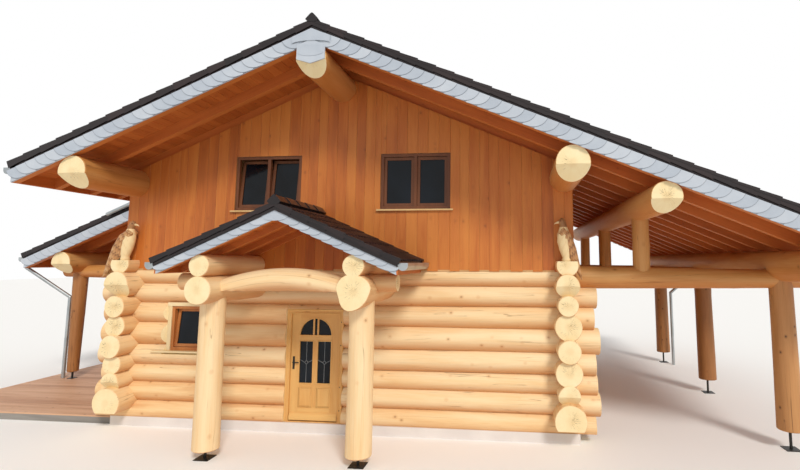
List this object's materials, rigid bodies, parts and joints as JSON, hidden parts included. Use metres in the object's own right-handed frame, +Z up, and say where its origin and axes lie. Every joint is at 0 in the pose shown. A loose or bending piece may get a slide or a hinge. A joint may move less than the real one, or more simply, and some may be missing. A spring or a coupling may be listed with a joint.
{
  "type": "alpine log chalet",
  "caption": "Alpine chalet: round-log ground floor with crossing corners, boarded gable, broad slate-edged roof over a carport and a deck, log porch, hinged front door.",
  "frame": {"origin": "on the ground under the ridge, at the middle of the overall length from the porch roof's edge to the rear roof's edge", "axes": "+X along the front, towards the carport; +Y from the front to the back; +Z up"},
  "size_m": [18.7506, 11.38, 7.503],
  "materials": {
    "base_render": "rough",
    "floor_wood": "satin",
    "log_wood": "satin",
    "purlin_wood": "satin",
    "post_wood": "satin",
    "board_wood": "satin",
    "rafter_wood": "satin",
    "roof_tile": "glossy",
    "slate": "matte",
    "door_wood": "satin",
    "window_wood": "satin",
    "sill_wood": "satin",
    "carved_wood": "satin",
    "pane_glass": "clear",
    "dark_metal": "satin",
    "deck_wood": "satin",
    "grey_wood": "matte",
    "zinc": "satin"
  },
  "bodies": {
    "house": {"plinth": "base_render", "ground_floor": "floor_wood", "upper_floor": "floor_wood", "front_wall_left": "log_wood", "front_wall_right": "log_wood", "front_wall_over_door": "log_wood", "front_top_log": "log_wood", "left_wall": "log_wood", "right_wall": "log_wood", "rear_wall": "log_wood", "rear_top_log": "log_wood", "porch_posts": "log_wood", "porch_plate_logs": "log_wood", "porch_top_logs": "log_wood", "porch_arch_log": "log_wood", "tie_logs": "log_wood", "ridge_purlin": "purlin_wood", "wall_purlins": "purlin_wood", "mid_purlins": "purlin_wood", "eave_purlins": "purlin_wood", "king_posts": "post_wood", "carport_posts": "post_wood", "deck_posts": "post_wood", "front_gable": "board_wood", "rear_gable": "board_wood", "left_knee_wall": "board_wood", "right_knee_wall": "board_wood", "rafters_left": "rafter_wood", "rafters_right": "rafter_wood", "roof_boards_left": "rafter_wood", "roof_boards_right": "rafter_wood", "terrace_roof_boards": "rafter_wood", "eave_boards": "rafter_wood", "porch_rafters": "rafter_wood", "porch_boards": "rafter_wood", "roof_tiles_left": "roof_tile", "roof_tiles_right": "roof_tile", "terrace_roof_tiles": "roof_tile", "porch_tiles": "roof_tile", "ridge_tiles": "roof_tile", "verge_boards": "slate", "porch_verge": "slate", "door_frame": "door_wood", "window_frames": "window_wood", "window_sashes": "window_wood", "window_sills": "sill_wood", "corner_birds": "carved_wood", "window_glass": "pane_glass", "post_shoes": "dark_metal", "door_hinges": "dark_metal", "terrace_deck": "deck_wood", "deck_frame": "grey_wood", "gutters": "zinc", "downpipes": "zinc"},
    "door": {"door_leaf": "door_wood", "door_glass": "pane_glass", "door_handle": "dark_metal"}
  },
  "joints": [
    {"name": "front_door_hinge", "type": "hinge", "parent": "house", "child": "door", "pos_m": [0.0607, -3.6097, 0.205], "axis": [0, 0, -1], "range_deg": [0, 90]}
  ]
}
